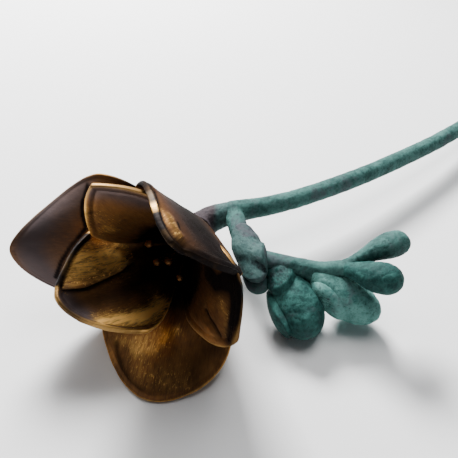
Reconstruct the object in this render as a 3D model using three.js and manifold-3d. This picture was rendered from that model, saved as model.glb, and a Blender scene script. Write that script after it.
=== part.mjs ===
// A cast bronze freesia stem that lies on a table: one open bloom with six petals,
// a dark flower tube, a long green stem and a side spike with four buds and their bracts.
// Millimetres, +Z up, the table is z = 0. The bloom opens towards -Y and a little upwards.

import * as THREE from 'three';
import { mergeVertices } from 'three/addons/utils/BufferGeometryUtils.js';
import Module from 'manifold-3d';

const wasm = await Module();
wasm.setup();

// Driving dimensions
const stemRadius = 2.8;
const spikeRadius = 2.6;
const petalThickness = 1.1;
const seatGap = 0.35;
const outerClaw = 4.4;
const innerClaw = 2.8;
const clawFill = 0.93;
const tubeRadiusAtFork = 3.4;
const tubeRadiusAtBloom = 5.0;
const beadRadius = 0.95;
const filamentRadius = 0.5;
const collarRadius = 3.35;
const budTipRoundness = 2.2;
// How far along a petal the tight curl of its claw fades out, as a share of its length
const clawFade = 0.12;

// The bloom: where its petals start, and the way that it opens
const bloomBase = new THREE.Vector3(-9.6, -14.2, 11.8);
const bloomHeading = 253.5;
const bloomRise = 18;

// The petals, in degrees and millimetres. turn goes clockwise round the bloom's axis from the top,
// as seen from the front. flare is the angle between the midrib and the axis: at the claw, what is
// added evenly along the petal, and what is added towards its tip. halfWidth, widest and round are
// given for the anticlockwise and the clockwise half: how wide it is, how far along it is widest, and
// how full it stays beyond. point is 0.5 for a round tip and more for a sharper one. cup is how
// tightly the blade is arched across, per millimetre, at the claw's end and at the tip. roll turns
// the margins out, and uneven arches the clockwise half more than the other one.
const petals = {
  petal_outer_left: {
    claw: outerClaw, turn: 273.6, flare: [13.6, 38, 39.7], length: 47.2, ease: 1.25,
    halfWidth: [15, 18.9], widest: [0.5, 0.52], round: [1.75, 1.4], point: 0.67,
    cup: [0.057, -0.075], lean: -0.9, twist: -6.6, roll: 0.17, uneven: 0.12,
  },
  petal_outer_top: {
    claw: outerClaw, turn: 28.2, flare: [27.6, 20.6, -44.6], length: 50.7, ease: 1.45,
    halfWidth: [14.9, 14.9], widest: [0.555, 0.53], round: [1.75, 2.95], point: 0.76,
    cup: [0.095, -0.028], lean: -1.2, twist: 9.4, roll: -0.01, uneven: -0.15,
  },
  petal_outer_bottom: {
    claw: outerClaw, turn: 157.3, flare: [10.15, 20.3, 22.4], length: 45.15, ease: 2,
    halfWidth: [16.5, 19.4], widest: [0.54, 0.555], round: [2.4, 1.61], point: 0.63,
    cup: [0.078, -0.052], lean: 14.1, twist: 15.6, roll: 0.037, uneven: -0.06,
  },
  petal_inner_top: {
    claw: innerClaw, turn: 334, flare: [14.9, 26.4, 12.6], length: 46, ease: 1.5,
    halfWidth: [9, 11.4], widest: [0.735, 0.61], round: [1.1, 2.25], point: 0.8,
    cup: [0.07, 0.05], lean: 8.2, twist: -10, roll: 0.07, uneven: -0.28,
  },
  petal_inner_right: {
    claw: innerClaw, turn: 96.7, flare: [3.9, 34.2, 15.3], length: 47.6, ease: 2,
    halfWidth: [15.2, 7.5], widest: [0.66, 0.61], round: [2.7, 1.1], point: 0.57,
    cup: [0.084, -0.002], lean: -7.1, twist: 10.2, roll: 0.08, uneven: -0.09,
  },
  petal_inner_left: {
    claw: innerClaw, turn: 219, flare: [7.8, 9.9, -24.3], length: 47.5, ease: 2.65,
    halfWidth: [13.6, 13.9], widest: [0.665, 0.685], round: [1.3, 2], point: 0.67,
    cup: [-0.032, 0.077], lean: 31, twist: 14.7, roll: -0.006, uneven: -0.19,
  },
};
const petalRows = 16;
const petalColumns = 10;

// The stem's centre line from the fork to its cut end, and the side spike's from the fork on
const fork = [1.1, -8.4, 14.5];
const stemLine = [
  fork, [15.2, -3.8, 14], [29, 3.2, 13.4], [42, 11.2, 12.6], [59.6, 23.6, 11.4],
  [72.9, 33.7, 10.4], [85.2, 44.1, 9.4], [110, 66, 7.2], [135, 87, 5], [160, 106, 2.7],
];
const spikeLine = [
  fork, [2.2, -13.5, 14.5], [3.7, -20, 14.1], [6.2, -25, 13.7], [12.3, -27.4, 13.9],
  [18, -28.8, 14], [23.4, -30.1, 14.3], [28.5, -30.6, 15.3],
];
const knobLine = [[4.6, -21.5, 14], [6, -26.5, 12.9], [7.4, -31.4, 11.2]];
const thirdStalk = [[25, -30.2, 14.6], [28, -30.8, 15.3], [30.6, -31.9, 15.9]];
const fourthStalk = [[25, -30.2, 14.6], [29.2, -30.1, 16], [33.6, -28.8, 18.1]];

// Buds: base, middle and tip of the centre line, the radius at the base and the largest one, how
// far along it is fullest, and how slowly it swells. A bud that is pressed against another one is
// cut clear of it.
const buds = {
  bud_1: {
    line: [[13.6, -28.3, 10.8], [17.9, -36.7, 6.1], [19.5, -44.2, 5.4]],
    base: 3.2, radius: 6.25, fullest: 0.5, ease: 1.1, pressedBy: [],
  },
  bud_2: {
    line: [[22.4, -30.9, 12.4], [30.9, -34.2, 7], [37.7, -38.7, 6.1]],
    base: 3, radius: 5.5, fullest: 0.5, ease: 1.1, pressedBy: ['bud_1'],
  },
  bud_3: {
    line: [[29.2, -31.2, 15.6], [35.4, -34.8, 16.7], [41.4, -37.2, 17.5]],
    base: 1.9, radius: 3.95, fullest: 0.64, ease: 1.5, pressedBy: [],
  },
  bud_4: {
    line: [[32, -29.3, 17.3], [38.4, -28.2, 20.3], [44, -28, 22.5]],
    base: 1.6, radius: 3.35, fullest: 0.68, ease: 1.5, pressedBy: ['bud_3'],
  },
};

// Bracts: scale leaves that hug what they sit on, as far as an egg-shaped patch reaches.
// size is the patch's half length, half width and half depth.
const bracts = {
  bract_1: {
    on: ['spike', 'knob'], thickness: 1.4,
    centre: [5.2, -25.4, 15.6], size: [8.6, 4.4, 3.6], heading: 286, rise: -18,
  },
  bract_2: {
    on: ['spike', 'bud_1'], thickness: 1.4,
    centre: [12, -29.4, 13.6], size: [9, 4.2, 4], heading: 298, rise: -30,
  },
  bract_3: {
    on: ['knob'], thickness: 1.2,
    centre: [6.2, -29.4, 9.8], size: [5.6, 4.2, 3], heading: 288, rise: -18,
  },
  bract_4: {
    on: ['bud_1'], thickness: 1.0,
    centre: [12.4, -37.4, 5.6], size: [7, 3.4, 3.6], heading: 283, rise: -12,
  },
  bract_5: {
    on: ['bud_2'], thickness: 0.9,
    centre: [25.4, -35.6, 9], size: [6.4, 3, 3.2], heading: 325, rise: -35,
  },
};

const rad = THREE.MathUtils.degToRad;
const point = ([x, y, z]) => new THREE.Vector3(x, y, z);

// A width that grows from start to full and closes in a tip, for x from 0 to 1. The tip is round
// where point is 0.5, and sharper where it is more.
function swell(x, { start, full, widest, ease, round, point: sharpness = 0.5 }) {
  if (x < widest) {
    return start + (full - start) * Math.sin((x / widest) * Math.PI / 2) ** ease;
  }
  const past = (x - widest) / (1 - widest);
  return full * Math.max(0, 1 - past ** round) ** sharpness;
}

// Axes of a whorl: axis points out of it, top is the side nearest to straight up
function whorl(base, headingDeg, riseDeg) {
  const rise = rad(riseDeg);
  const heading = rad(headingDeg);
  const axis = new THREE.Vector3(
    Math.cos(rise) * Math.cos(heading), Math.cos(rise) * Math.sin(heading), Math.sin(rise));
  const top = new THREE.Vector3(0, 0, 1).addScaledVector(axis, -axis.z).normalize();
  return { base, axis, top, side: top.clone().cross(axis) };
}

// The arched blade of a petal or bract: gives a point of its middle surface for
// x from 0 at the claw to 1 at the tip, and y from -1 to 1 across
function blade(place, shape) {
  const turn = rad(shape.turn);
  const [cosine, sine] = [Math.cos(turn), Math.sin(turn)];
  const out = place.top.clone().multiplyScalar(cosine).addScaledVector(place.side, sine);
  const across = place.side.clone().multiplyScalar(cosine).addScaledVector(place.top, -sine);
  const [flare0, flare1, flare2] = shape.flare.map(rad);
  const lean = rad(shape.lean);
  const steps = 120;

  const frameAt = (x) => {
    const flare = flare0 + flare1 * x + flare2 * x * x;
    const [cosine, sine] = [Math.cos(flare), Math.sin(flare)];
    const forward = out.clone().multiplyScalar(sine).addScaledVector(place.axis, cosine);
    const along = forward.multiplyScalar(Math.cos(lean * x)).addScaledVector(across, Math.sin(lean * x));
    const inward = out.clone().multiplyScalar(-cosine).addScaledVector(place.axis, sine);
    const sideways = along.clone().cross(inward).normalize();
    return { along, sideways, inward: sideways.clone().cross(along) };
  };

  const midrib = [place.base.clone().addScaledVector(out, shape.claw)];
  for (let i = 1; i <= steps; i += 1) {
    const heading = frameAt((i - 0.5) / steps).along;
    midrib.push(midrib[i - 1].clone().addScaledVector(heading, shape.length / steps));
  }

  return (x, y) => {
    const i = Math.min(steps - 1, Math.floor(x * steps));
    const p = midrib[i].clone().lerp(midrib[i + 1], x * steps - i);
    const { sideways, inward } = frameAt(x);
    const twist = rad(shape.twist) * x;
    const [cosine, sine] = [Math.cos(twist), Math.sin(twist)];
    const right = sideways.clone().multiplyScalar(cosine).addScaledVector(inward, sine);
    const front = inward.clone().multiplyScalar(cosine).addScaledVector(sideways, -sine);
    const side = y < 0 ? 0 : 1;
    const half = swell(x, {
      start: shape.claw * clawFill, full: shape.halfWidth[side], widest: shape.widest[side],
      ease: shape.ease, round: shape.round[side], point: shape.point,
    });
    const hand = Math.sign(y) * Math.min(1, x / 0.4);
    const [cup0, cup1] = shape.cup;
    const clawCup = (1 / shape.claw - cup0) * Math.exp(-x / clawFade);
    const bend = (cup1 + (cup0 - cup1) * (1 - x) + clawCup) * (1 + shape.uneven * hand);
    const arc = y * half;
    const flat = Math.abs(bend) < 1e-6;
    const lateral = flat ? arc : Math.sin(bend * arc) / bend;
    const depth = (flat ? 0 : (1 - Math.cos(bend * arc)) / bend) - shape.roll * half * y ** 4;
    return p.addScaledVector(right, lateral).addScaledVector(front, depth);
  };
}

// A closed sheet round a blade's middle surface. grow makes it bigger all over.
function sheet(at, { thickness, rows, columns, grow = 0 }) {
  const step = 0.004;
  const vertices = [];
  const triangles = [];
  const normalAt = (x, y) => {
    const xs = Math.min(x, 0.975);
    const dx = at(xs + step, y).sub(at(Math.max(0, xs - step), y));
    const dy = at(xs, Math.min(1, y + step)).sub(at(xs, Math.max(-1, y - step)));
    return dy.cross(dx).normalize();
  };
  const index = (face, i, j) => (face * (rows + 1) + i) * (columns + 1) + j;
  for (const face of [0, 1]) {
    for (let i = 0; i <= rows; i += 1) {
      const x = 1 - (1 - i / rows) ** 1.6;
      for (let j = 0; j <= columns; j += 1) {
        const y = (2 * j) / columns - 1;
        const offset = (face - 0.5) * (thickness + 2 * grow);
        const p = at(x, y).addScaledVector(normalAt(x, i < rows ? y : 0), offset);
        if (grow > 0) {
          const edge = at(x, 0).sub(at(x, y));
          p.addScaledVector(edge.normalize(), -grow * Math.abs(y) ** 6);
          if (i === rows) p.addScaledVector(at(1, 0).sub(at(0.97, 0)).normalize(), grow);
          if (i === 0) p.addScaledVector(at(0.03, 0).sub(at(0, 0)).normalize(), -grow);
        }
        vertices.push(p.x, p.y, p.z);
      }
    }
  }
  for (let i = 0; i < rows; i += 1) {
    for (let j = 0; j < columns; j += 1) {
      const [a, b, c, d] = [[i, j], [i + 1, j], [i + 1, j + 1], [i, j + 1]];
      for (const [p, q, r] of [[a, b, c], [a, c, d]]) {
        triangles.push(index(0, ...p), index(0, ...q), index(0, ...r));
        triangles.push(index(1, ...p), index(1, ...r), index(1, ...q));
      }
    }
  }
  const strip = (p, q) => {
    triangles.push(index(0, ...p), index(0, ...q), index(1, ...q));
    triangles.push(index(0, ...p), index(1, ...q), index(1, ...p));
  };
  for (let i = 0; i < rows; i += 1) {
    strip([i + 1, 0], [i, 0]);
    strip([i, columns], [i + 1, columns]);
  }
  for (let j = 0; j < columns; j += 1) {
    strip([0, j], [0, j + 1]);
    strip([rows, j + 1], [rows, j]);
  }
  return solid(vertices, triangles);
}

// A round limb along a centre line, closed by a flat or rounded end. spacing bunches the rings
// towards the far end, so that a round tip stays round. grow makes it bigger all over.
function limb(line, radiusAt, { sides = 12, steps = 16, spacing = 1, grow = 0 }) {
  const stops = line.map(point);
  const away = (end, next) => end.addScaledVector(end.clone().sub(next).normalize(), grow);
  away(stops[0], stops[1]);
  away(stops[stops.length - 1], stops[stops.length - 2]);
  const curve = new THREE.CatmullRomCurve3(stops, false, 'centripetal');
  const up = new THREE.Vector3(0, 0, 1);
  const vertices = [];
  const triangles = [];
  const rings = [];
  for (let i = 0; i <= steps; i += 1) {
    const t = 1 - (1 - i / steps) ** spacing;
    if (radiusAt(t) < 1e-3) continue;
    const radius = radiusAt(t) + grow;
    const centre = curve.getPointAt(t);
    const tangent = curve.getTangentAt(t);
    const level = tangent.clone().cross(up).normalize();
    const raised = level.clone().cross(tangent);
    rings.push(vertices.length / 3);
    for (let k = 0; k < sides; k += 1) {
      const angle = (2 * Math.PI * k) / sides;
      const p = centre.clone()
        .addScaledVector(level, radius * Math.cos(angle))
        .addScaledVector(raised, radius * Math.sin(angle));
      vertices.push(p.x, p.y, p.z);
    }
  }
  const first = curve.getPointAt(0);
  const last = curve.getPointAt(1);
  const firstIndex = vertices.length / 3;
  vertices.push(first.x, first.y, first.z, last.x, last.y, last.z);
  for (let k = 0; k < sides; k += 1) {
    const next = (k + 1) % sides;
    for (let i = 0; i + 1 < rings.length; i += 1) {
      const [a, b] = [rings[i], rings[i + 1]];
      triangles.push(a + k, b + next, a + next, a + k, b + k, b + next);
    }
    triangles.push(firstIndex, rings[0] + k, rings[0] + next);
    const end = rings[rings.length - 1];
    triangles.push(firstIndex + 1, end + next, end + k);
  }
  return solid(vertices, triangles);
}

// A solid from loose vertices and triangles, with its faces pointing out
function solid(vertices, triangles) {
  const geometry = new THREE.BufferGeometry();
  geometry.setAttribute('position', new THREE.Float32BufferAttribute(vertices, 3));
  geometry.setIndex([...triangles]);
  const merged = mergeVertices(geometry, 1e-3);
  const corners = merged.index.array;
  const kept = [];
  for (let i = 0; i < corners.length; i += 3) {
    const [a, b, c] = [corners[i], corners[i + 1], corners[i + 2]];
    if (a !== b && b !== c && c !== a) kept.push(a, b, c);
  }
  return new wasm.Manifold(new wasm.Mesh({
    numProp: 3,
    vertProperties: merged.attributes.position.array,
    triVerts: Uint32Array.from(kept),
  }));
}

// A round ball
function ball(centre, radius, sides = 16) {
  const sphere = new THREE.SphereGeometry(radius, sides, sides / 2 + 2);
  sphere.translate(...centre);
  return solid([...sphere.attributes.position.array], [...sphere.index.array]);
}

// Cuts away what lies below the table, which leaves a small flat spot where the piece rests
function restOnTable(body) {
  const size = 600;
  const slab = new THREE.BoxGeometry(size, size, size);
  slab.translate(0, 0, -size / 2);
  return body.subtract(solid([...slab.attributes.position.array], [...slab.index.array]));
}

// The largest of the pieces that a cut has left
const largest = (body) => body.decompose().reduce((a, b) => (b.volume() > a.volume() ? b : a));

// Cuts a body's neighbours out of it
function clearOf(body, neighbours) {
  return largest(neighbours.reduce((rest, other) => rest.subtract(other), body));
}

// Petals
const bloom = whorl(bloomBase, bloomHeading, bloomRise);
const petalSheet = (name, grow = 0) => sheet(blade(bloom, petals[name]), {
  thickness: petalThickness, rows: petalRows, columns: petalColumns, grow,
});
const insideOf = {
  petal_outer_left: ['petal_inner_top', 'petal_inner_left', 'petal_outer_bottom'],
  petal_outer_top: ['petal_inner_top', 'petal_inner_right'],
  petal_outer_bottom: ['petal_inner_left', 'petal_inner_right'],
  petal_inner_top: [],
  petal_inner_right: ['petal_inner_top', 'petal_inner_left'],
  petal_inner_left: ['petal_inner_top'],
};
function makePetal(name) {
  const neighbours = insideOf[name].map((other) => petalSheet(other, seatGap));
  return clearOf(petalSheet(name), [tubeSeat, ...neighbours]);
}

// Flower tube: from the fork down into the bloom, widening to the petals' claws
const tubeEnd = bloomBase.clone().addScaledVector(bloom.axis, -0.7);
const tubeRadius = (t) => tubeRadiusAtFork + (tubeRadiusAtBloom - tubeRadiusAtFork) * t ** 1.5;
const tubeLine = [
  [-1.9, -8.6, 13.4], [-5.4, -8.9, 11.9], [-7.9, -10.6, 11.1],
  [...tubeEnd.clone().addScaledVector(bloom.axis, -1.2)], [...tubeEnd],
];
const makeTube = (grow = 0) => limb(tubeLine, tubeRadius, { sides: 16, steps: 7, grow });
const tubeSeat = makeTube(seatGap);

// Stamens and style: a small button on the tube's end, and four rods with bead tips.
// Each bead is given along the axis, towards the top and towards the clockwise side.
const beads = [[24, 7.3, -3.1], [24, 3, -1], [24.5, 4.2, 2.1], [23, -0.4, 4.5]];
const inBloom = ([along, up, side]) => bloomBase.clone()
  .addScaledVector(bloom.axis, along).addScaledVector(bloom.top, up).addScaledVector(bloom.side, side);
const bloomLine = (stops) => stops.map((stop) => [...inBloom(stop)]);
function makeStamens() {
  const button = bloomLine([[-0.3, 0, 0], [1.2, 0, 0], [3, 0, 0]]);
  let body = limb(button, (t) => 1.7 - 0.5 * t, { sides: 12, steps: 3 });
  for (const [along, up, side] of beads) {
    const rod = bloomLine([[1, 0, 0], [along * 0.45, up * 0.3, side * 0.3], [along, up, side]]);
    body = body.add(limb(rod, () => filamentRadius, { sides: 5, steps: 5 }));
    body = body.add(ball(inBloom([along, up, side]), beadRadius, 6));
  }
  return body;
}

// Stem: the long round stalk, the spike, a knob at its bend and the two small stalks at its tip,
// in one piece. Each is a little bigger by grow where a neighbour has to stay clear of it.
const thickening = (t) => stemRadius + 0.5 * Math.exp(-t / 0.03);
const spikeTaper = (t) => spikeRadius + 0.3 * Math.exp(-t / 0.1)
  - 0.6 * THREE.MathUtils.clamp((t - 0.5) / 0.3, 0, 1);
const branches = {
  stalk: (grow) => limb(stemLine, thickening, { sides: 12, steps: 26, grow }),
  spike: (grow) => limb(spikeLine, spikeTaper, { sides: 12, steps: 16, grow }),
  knob: (grow) => limb(knobLine, (t) => 2.5 - 0.6 * t, { sides: 12, steps: 4, grow }),
  third: (grow) => limb(thirdStalk, () => 1.7, { sides: 10, steps: 4, grow }),
  fourth: (grow) => limb(fourthStalk, () => 1.5, { sides: 10, steps: 5, grow }),
  collar: (grow) => ball(fork, collarRadius + grow, 12),
};
const makeStem = (grow = 0) => Object.values(branches)
  .map((branch) => branch(grow))
  .reduce((body, branch) => body.add(branch));

// Buds, a little bigger by grow where a neighbour has to stay clear of them
function budBody(name, grow = 0) {
  const { line, base, radius, fullest, ease } = buds[name];
  const girth = (t) => swell(t, {
    start: base, full: radius, widest: fullest, ease, round: budTipRoundness,
  });
  return limb(line, girth, { sides: 16, steps: 11, spacing: 1.7, grow });
}
function makeBud(name) {
  const pressing = buds[name].pressedBy.map((other) => budBody(other, seatGap));
  return clearOf(budBody(name), pressing);
}

// The egg-shaped patch of a bract
function patch({ centre, size, heading, rise }, grow = 0) {
  const egg = new THREE.SphereGeometry(1, 14, 8);
  egg.scale(size[0] + grow, size[1] + grow, size[2] + grow);
  egg.rotateY(-rad(rise));
  egg.rotateZ(rad(heading));
  egg.translate(...centre);
  return solid([...egg.attributes.position.array], [...egg.index.array]);
}
const carrier = (name, grow) => (name in buds ? budBody(name, grow) : branches[name](grow));
function bractBody(name, neighbours) {
  const { on, thickness } = bracts[name];
  const skin = on.map((part) => carrier(part, seatGap + thickness)).reduce((a, b) => a.add(b));
  return clearOf(patch(bracts[name]).intersect(skin), neighbours);
}

// Materials
const finish = (color, roughness, metalness) => () => (
  new THREE.MeshStandardMaterial({ color, roughness, metalness }));
const brushedBronze = finish(0x6b4a22, 0.38, 0.95);
const darkBronze = finish(0x3b322e, 0.6, 0.6);
const greenPatina = finish(0x3f7468, 0.75, 0.25);

const plant = new THREE.Group();
function addPiece(name, body, material) {
  const cut = body.getMesh();
  const { vertProperties, triVerts } = largest(solid(cut.vertProperties, cut.triVerts)).getMesh();
  const geometry = new THREE.BufferGeometry();
  geometry.setAttribute('position', new THREE.Float32BufferAttribute(vertProperties, 3));
  geometry.setIndex(new THREE.Uint32BufferAttribute(triVerts, 1));
  geometry.computeVertexNormals();
  const mesh = new THREE.Mesh(geometry, material());
  mesh.name = name;
  plant.add(mesh);
}

const stem = makeStem();
const budSeats = Object.keys(buds).map((name) => budBody(name, seatGap));
addPiece('stem', restOnTable(clearOf(stem, [tubeSeat, ...budSeats])), greenPatina);
addPiece('flower_tube', makeTube(), darkBronze);
for (const name of Object.keys(petals)) addPiece(name, restOnTable(makePetal(name)), brushedBronze);
addPiece('stamens_and_style', makeStamens(), brushedBronze);
for (const name of Object.keys(buds)) addPiece(name, restOnTable(makeBud(name)), greenPatina);
const bractSeats = [makeStem(seatGap), tubeSeat, ...budSeats];
for (const name of Object.keys(bracts)) {
  addPiece(name, bractBody(name, bractSeats), greenPatina);
  bractSeats.push(patch(bracts[name], seatGap));
}

// The origin is on the table under the middle of the whole
const box = new THREE.Box3().setFromObject(plant);
const middle = box.getCenter(new THREE.Vector3());
plant.position.set(-middle.x, -middle.y, -box.min.z);

const freesia = new THREE.Group();
freesia.add(plant);
export default freesia;
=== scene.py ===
# %% [markdown]
# # A bronze freesia, lying on a table
# The object is a cast freesia: one open bloom of brushed, brown-gold bronze, and a stem, a side spike
# and four buds that have gone green with verdigris. The imported model gives every piece's place and
# size. This script keeps those sizes and adds what casting and age add: rims, folds, pits and patina.
# It also paints shade into the throat, crevices and creases, and highlights onto some petal rims.
# Lengths are written in millimetres, as on the drawing, and turned into metres at the last moment.

# %% Load the frame
import math
import bmesh
import bpy
import numpy as np
from mathutils import Matrix, Vector, kdtree, noise


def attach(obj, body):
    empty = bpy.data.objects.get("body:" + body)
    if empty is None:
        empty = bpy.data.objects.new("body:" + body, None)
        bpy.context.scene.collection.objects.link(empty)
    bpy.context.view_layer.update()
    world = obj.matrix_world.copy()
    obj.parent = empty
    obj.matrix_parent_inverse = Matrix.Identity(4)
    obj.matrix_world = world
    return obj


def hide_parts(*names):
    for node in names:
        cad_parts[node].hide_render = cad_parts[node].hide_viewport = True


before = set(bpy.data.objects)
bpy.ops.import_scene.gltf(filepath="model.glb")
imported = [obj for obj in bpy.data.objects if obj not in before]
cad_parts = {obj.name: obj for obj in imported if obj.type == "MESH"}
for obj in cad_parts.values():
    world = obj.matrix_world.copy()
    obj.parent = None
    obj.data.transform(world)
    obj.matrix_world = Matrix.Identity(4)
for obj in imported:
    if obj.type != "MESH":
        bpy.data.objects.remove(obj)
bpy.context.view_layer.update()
MM = 0.001
DRAWING_SHIFT = Vector((-54.918, -24.715, 0.0))

# %% [markdown]
# ## Camera
# The photograph looks down at the table at 43 degrees, from about 150 mm away, with the bloom at the
# left and the stem running out of the picture at the upper right. A lens of 37 mm on a 36 mm sensor
# gives the same perspective, so no shift is needed.

# %% Camera
LOOK_DOWN = math.radians(43)
CAMERA_PLACE = (Vector((0.0, -109.70, 102.30)) + DRAWING_SHIFT) * MM
SENSOR_WIDTH = 36
FOCAL_PIXELS, PHOTO_WIDTH = 470, 458

lens = bpy.data.cameras.new("camera")
lens.sensor_width = SENSOR_WIDTH
lens.lens = SENSOR_WIDTH * FOCAL_PIXELS / PHOTO_WIDTH
lens.clip_start = 0.005
camera = bpy.data.objects.new("camera", lens)
camera.location = CAMERA_PLACE
camera.rotation_euler = (math.pi / 2 - LOOK_DOWN, 0, 0)
bpy.context.scene.collection.objects.link(camera)
bpy.context.scene.camera = camera
print("lens", round(lens.lens, 2), "mm")

# %% [markdown]
# ## Shader maths
# Patina is a layering of masks: streaks over blotches over a base. In the node editor each sum is a
# Math node. Here one small class wraps a socket, so that a sum of masks reads like a sum, and adds
# the nodes behind the scenes.

# %% A socket that can be calculated with
# Which of a node's outputs is meant, counted from 0
OBJECT_COORDINATES, ATTRIBUTE_NUMBER, MIXED_COLOUR = 3, 2, 2


class Wire:
    """An output socket of a material's nodes, or the start of a new chain where it has none."""

    def __init__(self, tree, socket=None):
        self.tree, self.socket = tree, socket

    def node(self, kind, settings=None, inputs=None, output=0):
        """A new node's output: its settings are made first, then its sockets' values or links."""
        made = self.tree.nodes.new(kind)
        for name, value in (settings or {}).items():
            setattr(made, name, value)
        for name, value in (inputs or {}).items():
            if isinstance(value, Wire):
                self.tree.links.new(value.socket, made.inputs[name])
            else:
                made.inputs[name].default_value = value
        return Wire(self.tree, made.outputs[output])

    def math(self, operation, *values):
        return self.node("ShaderNodeMath", {"operation": operation}, dict(enumerate(values)))

    def __add__(self, other):
        return self.math("ADD", self, other)

    def __sub__(self, other):
        return self.math("SUBTRACT", self, other)

    def __rsub__(self, other):
        return self.math("SUBTRACT", other, self)

    def __mul__(self, other):
        return self.math("MULTIPLY", self, other)

    __radd__ = __add__
    __rmul__ = __mul__

    def capped(self):
        """This value, but never above 1."""
        return self.math("MINIMUM", self, 1.0)

    def ramp(self, low, high):
        """0 below low, 1 above high, with a smooth step between them."""
        settings = {"interpolation_type": "SMOOTHSTEP", "clamp": True}
        sockets = {"Value": self, "From Min": low, "From Max": high}
        return self.node("ShaderNodeMapRange", settings, sockets)

    def blend(self, below, above):
        """The colour below where this mask is 0, and above where it is 1."""
        sockets = {0: self, 6: below, 7: above}
        return self.node("ShaderNodeMix", {"data_type": "RGBA"}, sockets, output=MIXED_COLOUR)


def rgb(red, green, blue):
    """A colour as sockets want it, with full opacity."""
    return (red, green, blue, 1)


def new_material(name):
    """A material's first wire and its Principled shader."""
    material = bpy.data.materials.new(name)
    material.use_nodes = True
    shader = material.node_tree.nodes["Principled BSDF"]
    return material, Wire(material.node_tree), shader


def feed(shader, **sockets):
    """Links each wire to the shader's socket, whose name has underscores for spaces."""
    for name, value in sockets.items():
        value.tree.links.new(value.socket, shader.inputs[name.replace("_", " ")])


def cloudy(place, scale, detail, roughness, distortion=0.0):
    """Clouds of noise, in cells per metre, at the place that a wire gives."""
    return place.node("ShaderNodeTexNoise", {}, {
        "Vector": place, "Scale": scale, "Detail": detail,
        "Roughness": roughness, "Distortion": distortion})


def stored(start, name):
    """A number that was stored on the points of the mesh, or 0 where the mesh has none."""
    return start.node("ShaderNodeAttribute", {"attribute_name": name}, output=ATTRIBUTE_NUMBER)


print("socket class ready")

# %% [markdown]
# ## Bronze of the petals
# The petals were darkened, then rubbed bright again along their length, so the colour runs from
# nearly black in the hollows, over brown, to gold on the rims and the worn bellies. The near-black is
# dark patina and also painted shade: in the throat, in crevices where petals overlap, in grooves and
# along shaded edges. The gold is wear and also painted highlight and reflection, on the top petal's
# rolled rim and on the panel and belly of the left inner petal. The pattern has to follow each petal,
# so it reads the petal's own map, with metres along and across it, and four values that are stored on
# its points: the distance to its rim in millimetres, the wear and painted highlight, the dusk, and the
# soot and painted shade. Worn metal is a little less metallic, because a lacquered scratch scatters
# the light.

# %% Brushed bronze
# Near-black for soot and dark patina, which also stands in as painted shade
SOOT_AND_SHADE = rgb(0.006, 0.004, 0.004)
DUSK = rgb(0.120, 0.092, 0.092)
BROWN = rgb(0.125, 0.058, 0.024)
WARM_BROWN = rgb(0.33, 0.150, 0.046)
# Gold for worn metal, which also stands in as painted highlight and reflection
GOLD = rgb(1.0, 0.56, 0.15)
GRAZING_TINT = rgb(0.33, 0.30, 0.27)
BRUSH_ROUGHNESS = 0.62


def brushed_bronze():
    material, start, shader = new_material("brushed_bronze")
    blade = start.node("ShaderNodeUVMap", {"uv_map": "blade"})
    place = start.node("ShaderNodeTexCoord", output=OBJECT_COORDINATES)

    def brushed(along, across):
        """Noise that is drawn out along the petal, in cells per metre along and across it."""
        stretched = start.node("ShaderNodeMapping", {}, {"Vector": blade, "Scale": (along, across, 1)})
        return cloudy(stretched, 1.0, 5, BRUSH_ROUGHNESS)

    streaks, hairs, flecks = brushed(120, 700), brushed(420, 2600), brushed(900, 2600)
    blotches, grain = cloudy(place, 110, 4, BRUSH_ROUGHNESS), cloudy(place, 2200, 3, BRUSH_ROUGHNESS)
    margin, wear_and_highlight = stored(start, "margin"), stored(start, "wear_and_highlight")
    dusk, soot_and_shade = stored(start, "dusk"), stored(start, "soot_and_shade")

    # Masks: rubbed brown, the bright rim, flecks, scratches, and how much gold they bare together, with the
    # painted highlights; the near-black mask is soot with painted shade
    rubbed = (streaks * 0.15 + blotches * 0.55 + hairs * 0.3).ramp(0.36, 0.66)
    rim = (1 - margin.ramp(0.1, 0.6)) * (0.4 + 0.8 * blotches)
    bright = flecks.ramp(0.57, 0.66)
    scratched = 0.34 + 0.30 * streaks.ramp(0.36, 0.64) + 0.34 * hairs.ramp(0.36, 0.66)
    shine = (wear_and_highlight * scratched + rim * 0.7 + bright * (wear_and_highlight * 1.2 + 0.05)).ramp(0.10, 1.15)
    soot_and_shade_mask = (soot_and_shade * (0.75 + blotches * 0.5)).capped()

    # Colour, from the lowest layer to the highest
    colour = rubbed.blend(BROWN, WARM_BROWN)
    colour = (dusk * (0.6 + blotches * 0.8)).ramp(0.0, 1.0).blend(colour, DUSK)
    colour = shine.blend(colour, GOLD)
    colour = soot_and_shade_mask.blend(colour, SOOT_AND_SHADE)

    gloss = 0.52 - 0.16 * shine + 0.20 * soot_and_shade_mask - 0.08 * rubbed
    metal = 0.85 - 0.45 * shine * shine
    height = streaks * 0.10 + hairs * 0.35 + flecks * 0.2 + grain * 0.35
    bump = start.node("ShaderNodeBump", {}, {"Strength": 0.4, "Distance": 0.0002, "Height": height})
    feed(shader, Base_Color=colour, Roughness=gloss, Metallic=metal, Normal=bump)
    shader.inputs["Specular Tint"].default_value = GRAZING_TINT
    return material


petal_bronze = brushed_bronze()
print("bronze nodes:", len(petal_bronze.node_tree.nodes))

# %% [markdown]
# ## Verdigris
# The stem, spike and buds are green copper patina: teal with mint blotches where it is chalky,
# grey-purple where the metal shows through, and dark in the pits and creases. The pits are dark patina;
# the darkening in the creases is dark patina and painted shade. The patina grows everywhere alike, so it
# reads Object coordinates and needs no map. Chalk isn't metal, so it is hardly metallic.

# %% Verdigris
UMBER = rgb(0.040, 0.030, 0.034)
# Near-black for pits and creases: dark patina, and painted shade in the creases
PIT_AND_SHADE = rgb(0.004, 0.008, 0.010)
CRUST_ROUGHNESS = 0.66


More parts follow.
